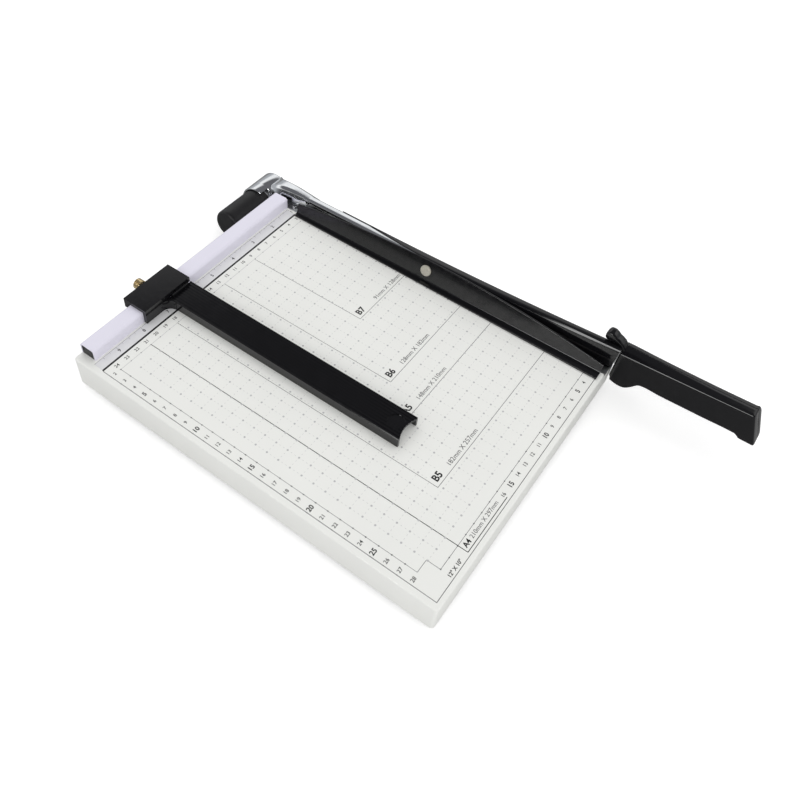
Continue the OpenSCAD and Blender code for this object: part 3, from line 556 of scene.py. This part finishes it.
def drawn_in(outline, by):
    """Half of the grip's outline made smaller by some millimetres, its seam's X in place."""
    low, high = min(z for _, z in outline), max(z for _, z in outline)
    mid = (low + high) / 2
    tall = 1 - by / (high - mid)
    return [((x - GRIP_SEAM) * (1 - by / GRIP_W) + GRIP_SEAM, mid + (z - mid) * tall)
            for x, z in outline]


def grip_ring(side, d, depth, share, draw=0, front_off=1.1, back_off=1.3):
    """A ring of half the grip, kept between its leaning front and its leaning end."""
    top = GRIP_TOP + SLOPE * d
    end_z = GRIP_TOP + SLOPE * GRIP_L - GRIP[-1][1]
    ring = []
    for x, z in drawn_in(grip_outline(top - depth, top, GRIP_DOME * share, side), draw):
        front = GRIP_START + max(0, z) * FRONT_LEAN + front_off
        back = GRIP_START + GRIP_L - (z - end_z) * END_LEAN - back_off
        ring.append((x, -min(max(GRIP_START + d, front), back), z))
    return ring


def build_handle():
    """The grip's two halves, each with its half of the horn, all with soft ends."""
    horn = edge_round([(-d, z) for d, z in HORN], [2] * 10 + [0, 0, 0] + [1.0, 1.2, 1.5], 3)
    horn_left, horn_right = -10.5, -2.5
    halves = ((-1, "grip_left", "handle_left", GRIP_SEAM - SEAM_GAP, horn_left),
              (1, "grip_right", "handle_right", GRIP_SEAM + SEAM_GAP, horn_right))
    for side, name, node, seam, horn_end in halves:
        rings = [grip_ring(side, *GRIP[0], draw, off, 0)
                 for draw, off in ((1.3, 0), (0.7, 0.1), (0.3, 0.35), (0.08, 0.7))]
        rings += [grip_ring(side, *row) for row in spline(GRIP, 66)]
        rings += [grip_ring(side, *GRIP[-1], draw, 0, off)
                  for draw, off in ((0.1, 0.8), (0.4, 0.35), (0.8, 0.1), (1.5, 0))]
        shape = Shape().loft(rings)
        shape.loft(horn_half(horn, seam, horn_end, 2.2))
        piece(name, shape, "black_plastic", "lever", [node], angle=50)


# GAUGE

GAUGE_X0, GAUGE_W, GAUGE_L, GAUGE_H, RIBS = -172.5, 24.5, 218, 9, 9
GROOVE, RIB_SOFT, GAUGE_SOFT = 0.5, 0.12, 0.6
GAUGE_WALL, GAUGE_FOOT, GAUGE_ROOF = 1.8, 0.4, 2.3


def build_gauge():
    """The gauge's ribbed bar, a channel with a concave front end and a dish in its top."""
    pitch = GAUGE_W / (2 * RIBS + 1)
    groove = GAUGE_H - GROOVE
    top = []
    for i in range(RIBS + 1):
        x = GAUGE_X0 + 2 * i * pitch
        if i:
            top += [(x - RIB_SOFT, groove), (x + RIB_SOFT, GAUGE_H)]
        if i < RIBS:
            top += [(x + pitch - RIB_SOFT, GAUGE_H), (x + pitch + RIB_SOFT, groove)]
    x0, x1 = GAUGE_X0, GAUGE_X0 + GAUGE_W
    soft, foot, roof = GAUGE_H - GAUGE_SOFT, GAUGE_FOOT, GAUGE_H - GAUGE_ROOF
    left = [(x0, foot), (x0, soft), (x0 + GAUGE_SOFT, GAUGE_H)]
    right = [(x1 - GAUGE_SOFT, GAUGE_H), (x1, soft), (x1, foot)]
    inside = [(x1 - GAUGE_WALL, foot), (x1 - GAUGE_WALL, roof), (x0 + GAUGE_WALL, roof),
              (x0 + GAUGE_WALL, foot)]
    outline = left + top + right + inside
    back, first = 3.8, 9
    rings = []
    for d in [back] + [first + (GAUGE_L - first) * k / 12 for k in range(13)]:
        rings.append([(x, -d, z) for x, z in outline])
    mid = (x0 + x1) / 2
    bite_r, bite_out = 22, 19.4
    cut = Shape().lathe([(-3, 0), (-3, bite_r), (20, bite_r), (20, 0)],
                        (mid, -GAUGE_L - bite_out, 0), "Z", 160)
    dish = Shape().lathe([(7.9, 0), (7.9, 6.3), (8.1, 6.5), (12, 6.7), (12, 0)],
                         (mid, -GAUGE_L + 10, 0), "Z", 48)
    piece("gauge_bar", Shape().loft(rings), "black_plastic", "gauge", ["gauge_arm"], angle=30,
          cuts=[cut, dish], bevel=0.15, steps=1, limit=50)


# BOARD

LEDGE, STEP, KNIFE_T, BORE_R = 23.3, 1.2, 4, 2.1
END_SCREW_X, END_SCREW_Y = -17.6, -4.6


def round_rect(x0, y0, x1, y1, r, steps=6):
    """The outline of a rectangle with round corners."""
    out = []
    for cx, cy, turn in ((x1 - r, y1 - r, 0), (x0 + r, y1 - r, 90), (x0 + r, y0 + r, 180),
                         (x1 - r, y0 + r, 270)):
        for k in range(steps + 1):
            a = math.radians(turn + 90 * k / steps)
            out.append((cx + r * math.cos(a), cy + r * math.sin(a)))
    return out


def rod(x, y, r, z0, z1):
    """An upright cylinder."""
    return Shape().lathe([(z0, 0), (z0, r), (z1, r), (z1, 0)], (x, y, 0), "Z", 32)


def screw_spots(node):
    """The middles, in X and Y, of the separate solids of a node, in design millimetres."""
    work = bmesh.new()
    work.from_mesh(frame["nodes"][node].data)
    seen, spots = set(), []
    for vert in work.verts:
        if vert in seen:
            continue
        group, front = [], [vert]
        seen.add(vert)
        while front:
            at = front.pop()
            group.append(at.co)
            for edge in at.link_edges:
                other = edge.other_vert(at)
                if other not in seen:
                    seen.add(other)
                    front.append(other)
        mid = [(min(c[i] for c in group) + max(c[i] for c in group)) / 2 for i in (0, 1)]
        spot = (round((mid[0] - CUT) / MM, 2), round((mid[1] - FENCE) / MM, 2))
        if all(math.dist(spot, other) > 1 for other in spots):
            spots.append(spot)
    work.free()
    return spots


def build_tray():
    """The pressed tray with a soft top edge, its ledge for the bed knife and its bores."""
    corner = 3

    def ring(drawn, z):
        r = max(corner - drawn, 0.8)
        return [(x, y, z) for x, y in round_rect(-BOARD_W + drawn, -BOARD_L + drawn,
                                                 -STEP - drawn, BOARD_BACK - drawn, r)]

    low = -BOARD_H + 0.2
    shape = Shape().loft([ring(drawn, z) for drawn, z in (
        (SHEET + 0.3, -SHEET), (SHEET, -SHEET - 0.3), (SHEET, low), (SHEET - 0.2, -BOARD_H),
        (0.2, -BOARD_H), (0, low), (0, -1.3), (0.1, -0.8), (0.38, -0.38), (0.8, -0.1),
        (1.3, 0))])
    left, right = -LEDGE - SHEET, -STEP - 1.4
    front, back = -BOARD_L + 1.4, BOARD_BACK - 1.4
    ledge = Shape().slab([(left, front), (right, front), (right, back), (left, back)],
                         -KNIFE_T - SHEET, -0.9)
    step = Shape().box((-LEDGE, -BOARD_L - 1, -KNIFE_T), (1, BOARD_BACK + 1, 1))
    bores = [rod(x, y, BORE_R, -9, 2)
             for screws in ("fence_screws", "knife_screws") for x, y in screw_spots(screws)]
    piece("tray", shape, "tray_white", "base", ["base_tray", "side_rail"], joins=[ledge],
          cuts=[step] + bores, angle=30)


def build_end_screw():
    """The low screw head that shows at the rear end of the bed knife."""
    turns = [k * math.pi / 16 for k in range(32)]
    rings = [[(END_SCREW_X + r * math.cos(a), END_SCREW_Y + r * math.sin(a), z) for a in turns]
             for r, z in ((2.8, 0), (2.8, 0.6), (2.6, 0.95), (2.1, 1.25), (1.3, 1.45), (0.4, 1.5))]
    piece("knife_end_screw", Shape().loft(rings), "zinc", "base", angle=50)


# PRINT on the board

def stamp(shape, text, x, y, size, bold=0.0, align="CENTER"):
    """Flat lettering, its middle at x and y."""
    curve = bpy.data.curves.new("stamp", "FONT")
    curve.body, curve.size, curve.extrude, curve.offset = text, size, 0.02, bold
    curve.align_x, curve.align_y, curve.resolution_u = align, "CENTER", 3
    thing = bpy.data.objects.new("stamp", curve)
    bpy.context.scene.collection.objects.link(thing)
    done = thing.evaluated_get(bpy.context.evaluated_depsgraph_get())
    mesh = bpy.data.meshes.new_from_object(done)
    shape.add([(v.co.x + x, v.co.y + y, v.co.z + 0.03) for v in mesh.vertices],
              [tuple(p.vertices) for p in mesh.polygons])
    bpy.data.objects.remove(thing)
    bpy.data.meshes.remove(mesh)


def stroke(shape, a, b, width):
    """A straight printed line along X or Y."""
    x0, x1 = sorted((a[0], b[0]))
    y0, y1 = sorted((a[1], b[1]))
    w = width / 2
    if x1 - x0 >= y1 - y0:
        y0, y1 = y0 - w, y1 + w
    else:
        x0, x1 = x0 - w, x1 + w
    shape.box((x0, y0, 0.01), (x1, y1, 0.04))


def dot(shape, x, y, r):
    """A printed dot, with eight sides."""
    shape.slab([(x + r * math.cos(k * math.pi / 4), y + r * math.sin(k * math.pi / 4))
                for k in range(8)], 0.01, 0.045)


CM, INCH = 10, 25.4
LEFT, LEFT_IN, BACK_LINE, BACK_IN, FRONT, FRONT_IN = -250, -240.8, -10.9, -20.2, -299.2, -289.6
# where lines end at the presser, and the ends of the pale bar along the fence
PRESS_SIDE, BAR_LEFT, BAR_RIGHT = -29.5, -249.6, -26
# the corner that the inner frame leaves free, and the shift of the dots from whole centimetres
FREE_X, FREE_Y, DOT_X, DOT_Y = -230.4, -279.2, -0.3, -0.2
# where the numbers stand, and the room that a paper size's label takes
INCHES_Y, BACK_Y, FRONT_Y, LEFT_X, LABEL_L, LABEL_H = -6.1, -15.5, -294.3, -246.2, 60, 9
PAPERS = [("B7", 91, 128), ("B6", 128, 182), ("A5", 148, 210), ("B5", 182, 257),
          ("A4", 210, 297)]


def labelled(x, y):
    """Whether a paper size's label stands here."""
    return any(-w < x < -w + LABEL_L and -l < y < -l + LABEL_H for _, w, l in PAPERS)


def scale_number(shape, n, x, y):
    """A scale's number, larger and bolder at each five."""
    stamp(shape, str(n), x, y, 3.9 if n % 5 else 5.0, 0.03 if n % 5 else 0.12)


def print_scales(black, grey, band):
    """The pale bar with the inch scale, and the centimetre numbers along three edges."""
    band.box((BAR_LEFT, -10.1, 0.005), (BAR_RIGHT, -1.9, 0.02))
    stroke(grey, (BAR_LEFT, -1.8), (BAR_RIGHT, -1.8), 0.2)
    stroke(black, (BAR_LEFT - 0.2, BACK_LINE), (BAR_RIGHT, BACK_LINE), 1.6)
    for n in range(1, 10):
        stamp(black, str(n), -INCH * n, INCHES_Y, 4.2, 0.06)
    for n in range(4, 39):
        x = -INCH / 4 * n
        stroke(grey, (x, -1.9), (x, -3.2 if n % 2 else -4), 0.16)
    for n in range(3, 25):
        stamp(black, str(n), -CM * n, BACK_Y, 4.0, 0.02)
    for n in range(2, 29):
        scale_number(black, n, LEFT_X, -CM * n)
    for n in range(4, 17):
        scale_number(black, n, -CM * n, FRONT_Y)


def print_frames(grey, pale):
    """The outer frame's two lines, and the inner frame with its stepped front corner."""
    stroke(grey, (LEFT, BACK_LINE - 0.6), (LEFT, FRONT), 0.42)
    stroke(grey, (LEFT, FRONT), (PRESS_SIDE, FRONT), 0.42)
    stroke(grey, (LEFT_IN, BACK_IN), (LEFT_IN, FREE_Y), 0.26)
    stroke(grey, (LEFT_IN, FREE_Y), (FREE_X, FREE_Y), 0.3)
    stroke(grey, (FREE_X, FREE_Y), (FREE_X, FRONT_IN), 0.3)
    stroke(grey, (FREE_X, FRONT_IN), (PRESS_SIDE, FRONT_IN), 0.28)
    stroke(pale, (LEFT_IN, BACK_IN), (PRESS_SIDE, BACK_IN), 0.3)


def print_grid(grey, pale):
    """Dots at the centimetres with short dashes between them, clear of the labels."""
    dash = 0.6
    for n in range(3, 24):
        x = -CM * n + DOT_X
        dot(grey, x, FRONT_IN, 0.5)
        dot(grey, x, BACK_IN, 0.4)
        for m in range(3, 29):
            y = -CM * m + DOT_Y
            if labelled(x, y):
                continue
            dot(pale, x, y, 0.8)
            for s in (3.4, 6.7):
                if m < 28 and not labelled(x, y - s):
                    stroke(pale, (x, y - s + dash), (x, y - s - dash), 0.2)
                if n > 3:
                    stroke(pale, (x + s - dash, y), (x + s + dash, y), 0.2)
    for m in range(2, 28):
        dot(grey, LEFT_IN, -CM * m + DOT_Y, 0.55)
        dot(grey, LEFT, -CM * m + DOT_Y, 0.42)


def print_papers(black, grey):
    """The outlines of the paper sizes, each with its name and its millimetres."""
    for name, w, l in PAPERS:
        largest = name == "A4"
        ink, wide = (black, 0.5) if largest else (grey, 0.34)
        stroke(ink, (-w, BACK_IN), (-w, -l), wide)
        stroke(ink, (-w, -l), (-160 if largest else PRESS_SIDE, -l), wide)
        if largest:
            stamp(black, name, -204.9, -293.4, 5.2, 0.14)
            stamp(grey, "210mm X 297mm", -200, -293.4, 4.5, 0.0, "LEFT")
        else:
            after = 25 if w < 100 else 19
            stamp(black, name, -w + 7, -l + 4.8, 7.4, 0.2)
            stamp(grey, "%dmm X %dmm" % (w, l), -w + after, -l + 3.9, 5.1, 0.0, "LEFT")
    stamp(black, '12" X 10"', -231.6, -296.3, 3.7, 0.08, "LEFT")


def build_print():
    """Everything printed on the board, as one piece for each ink."""
    black, grey, pale, band = Shape(), Shape(), Shape(), Shape()
    print_scales(black, grey, band)
    print_frames(grey, pale)
    print_grid(grey, pale)
    print_papers(black, grey)
    for name, shape in (("print_black", black), ("print_grey", grey), ("print_pale", pale),
                        ("print_band", band)):
        piece(name, shape, name.replace("print", "ink"), "base", angle=30)


# THUMB SCREW

def build_thumb_screw():
    """A turned head with a knurled rim on a plain shank."""
    low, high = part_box("thumb_screw")
    x = ((low.x + high.x) / 2 - CUT) / MM
    z = ((low.z + high.z) / 2 - TOP) / MM
    y0, y1 = (low.y - FENCE) / MM, (high.y - FENCE) / MM
    teeth, rings = 28, []
    for y, r, bite in ((y1 - 6.5, 3.6, 0), (y1 - 6.2, 4.1, 0.05), (y1 - 5.8, 4.5, 0.3),
                       (y1 - 0.8, 4.5, 0.3), (y1 - 0.3, 4.0, 0.05), (y1, 3.3, 0)):
        ring = []
        for k in range(teeth * 4):
            a = math.radians(360 * k / (teeth * 4))
            rr = r - bite * (k % 4 in (1, 2))
            ring.append((x + rr * math.cos(a), y, z + rr * math.sin(a)))
        rings.append(ring)
    shape = Shape().loft(rings)
    shape.lathe([(y0, 0), (y0, 2.1), (y0 + 0.4, 2.5), (y1 - 6.4, 2.5), (y1 - 6.4, 0)],
                (x, 0, z), "Y", 32)
    piece("thumb_screw_brass", shape, "brass", "thumb_screw", ["thumb_screw"], angle=25)


build_arm()
build_cover()
build_presser()
build_handle()
build_gauge()
build_tray()
build_end_screw()
build_print()
build_thumb_screw()

# CAD NODES, their materials and soft edges

def dress(node, mat, bevel=0.0, limit=40):
    """Gives a node its material and, with a bevel in millimetres, soft edges."""
    thing = frame["nodes"][node]
    thing.data.materials.clear()
    thing.data.materials.append(MATS[mat])
    if bevel:
        round_edges(thing, bevel, 2, limit)


# the width in millimetres by which a node's edges are rounded
SOFT = {"slider_bracket": 0.9, "fence_rail": 0.5, "bed_knife": 0.3, "spring_cover": 0.8,
        "pivot_bracket": 0.4, "rubber_feet": 0.6, "knife_screws": 0.4, "fence_blocks": 0.4,
        "blade_screws": 0.3, "pivot_bolt": 0.4, "handle_screws": 0.3, "bolt_washer": 0.2}
SLOTS = {sub["node"]: sub["material_slot"] for sub in frame["record"]["subparts"]}
for node, slot in SLOTS.items():
    dress(node, slot, SOFT.get(node, 0.0))


# STAGE

FLOOR_HALF, FLOOR_SHADE, FLOOR_IN_GLOSS, FLOOR_GLOW = 6.0, 0.88, 0.3, 0.36
WHITE = (1, 1, 1, 1)
# the brightness of the even light that the world casts on the object
DAYLIGHT = 0.78


def add_node(nodes, kind, inputs, operation=None):
    """A new shader node with values for its inputs, by their names or numbers."""
    node = nodes.new("ShaderNode" + kind)
    if operation:
        node.operation = operation
    for name, value in inputs.items():
        node.inputs[name].default_value = value
    return node


def build_floor():
    """A floor that glows a little to the camera and looks darker in reflections."""
    half = FLOOR_HALF
    mesh = bpy.data.meshes.new("floor")
    mesh.from_pydata([(-half, -half, 0), (half, -half, 0), (half, half, 0), (-half, half, 0)], [],
                     [(0, 1, 2, 3)])
    floor = bpy.data.objects.new("floor", mesh)
    bpy.context.scene.collection.objects.link(floor)
    mat = bpy.data.materials.new("floor")
    mat.use_nodes = True
    nodes, links = mat.node_tree.nodes, mat.node_tree.links
    shader = nodes["Principled BSDF"]
    shader.inputs["Roughness"].default_value = 0.9
    shader.inputs["Specular IOR Level"].default_value = 0.0
    shader.inputs["Emission Color"].default_value = WHITE
    path = nodes.new("ShaderNodeLightPath")
    shade = add_node(nodes, "MapRange", {"To Min": FLOOR_SHADE, "To Max": FLOOR_IN_GLOSS})
    links.new(path.outputs["Is Glossy Ray"], shade.inputs["Value"])
    links.new(shade.outputs["Result"], shader.inputs["Base Color"])
    glow = add_node(nodes, "Math", {1: FLOOR_GLOW}, "MULTIPLY")
    links.new(path.outputs["Is Camera Ray"], glow.inputs[0])
    links.new(glow.outputs[0], shader.inputs["Emission Strength"])
    mesh.materials.append(mat)


def build_world():
    """White to camera and transmission rays, even light, and a studio seen by glossy rays."""
    world = bpy.data.worlds.new("studio")
    bpy.context.scene.world = world
    world.use_nodes = True
    nodes, links = world.node_tree.nodes, world.node_tree.links
    nodes.clear()
    out = nodes.new("ShaderNodeOutputWorld")
    path = nodes.new("ShaderNodeLightPath")
    place = nodes.new("ShaderNodeTexCoord")

    def facing(direction, low, high, start, end):
        """Eases from start to end as a ray turns towards a direction."""
        along = add_node(nodes, "VectorMath", {1: direction}, "DOT_PRODUCT")
        links.new(place.outputs["Generated"], along.inputs[0])
        ease = add_node(nodes, "MapRange", {"From Min": low, "From Max": high,
                                            "To Min": start, "To Max": end})
        ease.interpolation_type = "SMOOTHSTEP"
        links.new(along.outputs["Value"], ease.inputs["Value"])
        return ease.outputs["Result"]

    # glossy rays: grey low down, white from about 27 to 40 degrees up, dark grey above
    split = nodes.new("ShaderNodeSeparateXYZ")
    links.new(place.outputs["Generated"], split.inputs[0])
    ramp = nodes.new("ShaderNodeValToRGB")
    links.new(split.outputs["Z"], ramp.inputs["Fac"])
    elements = ramp.color_ramp.elements
    elements[0].position, elements[0].color = 0.3, (0.45, 0.46, 0.48, 1)
    elements[1].position, elements[1].color = 0.72, (0.14, 0.14, 0.15, 1)
    for position in (0.46, 0.64):
        elements.new(position).color = WHITE
    # they see it dimmed on the side in front of the board and to its left
    room = add_node(nodes, "VectorMath", {}, "SCALE")
    links.new(ramp.outputs["Color"], room.inputs[0])
    links.new(facing((0.8, 0.6, 0), -0.45, 0.1, 0.12, 1.0), room.inputs["Scale"])
    # and a small bright spot on the left, about 28 degrees up, which shows as glints
    glint = Vector((-0.88, 0.09, 0.465)).normalized()
    both = add_node(nodes, "VectorMath", {}, "ADD")
    links.new(room.outputs["Vector"], both.inputs[0])
    links.new(facing(glint, 0.97, 0.998, 0.0, 8.0), both.inputs[1])

    shine = add_node(nodes, "Background", {"Strength": 1.0})
    links.new(both.outputs["Vector"], shine.inputs["Color"])
    plain = add_node(nodes, "Background", {"Color": WHITE, "Strength": DAYLIGHT})
    white = add_node(nodes, "Background", {"Color": WHITE, "Strength": 1.0})
    one = nodes.new("ShaderNodeMixShader")
    links.new(path.outputs["Is Glossy Ray"], one.inputs[0])
    links.new(plain.outputs[0], one.inputs[1])
    links.new(shine.outputs[0], one.inputs[2])
    clear = add_node(nodes, "Math", {}, "MAXIMUM")
    links.new(path.outputs["Is Camera Ray"], clear.inputs[0])
    links.new(path.outputs["Is Transmission Ray"], clear.inputs[1])
    two = nodes.new("ShaderNodeMixShader")
    links.new(clear.outputs[0], two.inputs[0])
    links.new(one.outputs[0], two.inputs[1])
    links.new(white.outputs[0], two.inputs[2])
    links.new(two.outputs[0], out.inputs["Surface"])


# name, place, diameter and power
LAMPS = [("key", (0.9, 1.1, 1.7), 1.4, 4.8), ("fill", (-1.1, -1.5, 1.2), 1.8, 10.0)]


def build_lamps():
    """Two round lamps that look at the object's middle and show in no reflection."""
    for name, place, size, power in LAMPS:
        light = bpy.data.lights.new(name, "AREA")
        light.shape, light.size, light.energy = "DISK", size, power
        lamp = bpy.data.objects.new(name, light)
        lamp.location = place
        lamp.rotation_euler = (-Vector(place)).to_track_quat("-Z", "Y").to_euler()
        lamp.visible_glossy = False
        bpy.context.scene.collection.objects.link(lamp)


# the camera, fitted to the marks printed on the board: its place in design millimetres, its
# turn in degrees, and its focal length and the lens's middle in pixels of the square photo
CAMERA_X, CAMERA_Y, CAMERA_Z = -461.86, -364.26, 475.09
CAMERA_TURN = (40.479, -1.6935, -53.0386)
PHOTO_PX, FOCAL_PX, MIDDLE_X_PX, MIDDLE_Y_PX = 800, 831.2, 334.42, 350.47


def build_camera():
    """The photo's view."""
    data = bpy.data.cameras.new("camera")
    data.sensor_width = 36
    data.lens = FOCAL_PX * data.sensor_width / PHOTO_PX
    data.shift_x = (PHOTO_PX / 2 - MIDDLE_X_PX) / PHOTO_PX
    data.shift_y = (MIDDLE_Y_PX - PHOTO_PX / 2) / PHOTO_PX
    data.clip_start = 0.01
    camera = bpy.data.objects.new("camera", data)
    camera.location = P(CAMERA_X, CAMERA_Y, CAMERA_Z)
    camera.rotation_euler = [math.radians(angle) for angle in CAMERA_TURN]
    bpy.context.scene.collection.objects.link(camera)
    bpy.context.scene.camera = camera


build_floor()
build_world()
build_lamps()
build_camera()
bpy.context.scene.view_settings.view_transform = "Standard"
